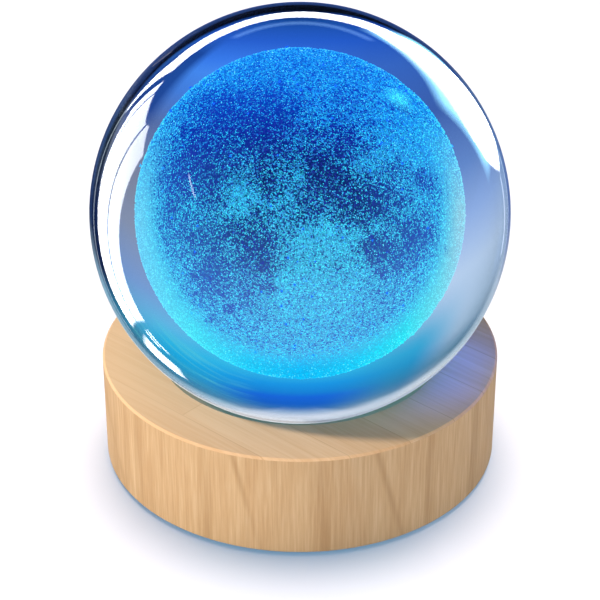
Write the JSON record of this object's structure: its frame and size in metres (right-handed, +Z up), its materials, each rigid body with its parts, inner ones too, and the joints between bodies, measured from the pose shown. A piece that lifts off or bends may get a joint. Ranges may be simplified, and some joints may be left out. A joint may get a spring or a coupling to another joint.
{
  "type": "crystal ball night light",
  "caption": "Clear glass ball with an engraved moon inside, resting in the dished top of a round wooden base that holds a rechargeable light, a charging socket and a push button.",
  "frame": {"origin": "on the surface that the lamp stands on, under the middle of the base", "axes": "+Z up along the axis of the base and the ball, -Y to the front, +Y to the back where the charging socket is"},
  "size_m": [0.08, 0.08, 0.0917],
  "materials": {
    "crystal_glass": "polished optical glass",
    "engraved_dots": "laser-made dots inside the glass, lit blue from below",
    "beech_wood": "turned, sanded and oiled",
    "opal_plastic": "frosted opal",
    "white_plastic": "moulded",
    "led_package": "moulded",
    "led_resin": "clear resin",
    "circuit_board": "white solder mask",
    "chip_epoxy": "moulded epoxy",
    "chip_ceramic": "ceramic",
    "socket_steel": "nickel-plated",
    "black_plastic": "moulded",
    "button_plastic": "moulded, satin",
    "cell_foil": "laminated foil",
    "foam_tape": "foam tape",
    "amber_tape": "wrapped in heat-proof tape",
    "red_insulation": "extruded",
    "black_insulation": "extruded",
    "cover_plastic": "moulded, fine texture",
    "screw_steel": "zinc-plated",
    "foot_rubber": "matt"
  },
  "bodies": {
    "base": {"wooden_base": "beech_wood", "diffuser_lens": "opal_plastic", "light_cup": "white_plastic", "led_chips": "led_package", "led_windows": "led_resin", "main_board": "circuit_board", "control_chip": "chip_epoxy", "charge_chip": "chip_epoxy", "board_passives": "chip_ceramic", "usb_socket_shell": "socket_steel", "usb_socket_tongue": "black_plastic", "switch_body": "black_plastic", "battery_cell": "cell_foil", "cell_pad": "foam_tape", "cell_protection_board": "amber_tape", "battery_lead_red": "red_insulation", "battery_lead_black": "black_insulation", "bottom_cover": "cover_plastic", "cover_screws": "screw_steel", "board_screws": "screw_steel", "rubber_feet": "foot_rubber"},
    "ball": {"crystal_ball": "crystal_glass", "engraved_moon": "engraved_dots"},
    "button": {"mode_button": "button_plastic", "switch_plunger": "white_plastic"}
  },
  "joints": [
    {"name": "ball_lift", "type": "slide", "parent": "base", "child": "ball", "axis": [0, 0, 1], "range_m": [0, 0.045]},
    {"name": "button_press", "type": "slide", "parent": "base", "child": "button", "axis": [-0.5, -0.866, 0], "range_m": [0, 0.0005], "stiffness_N_per_m": 1500}
  ]
}
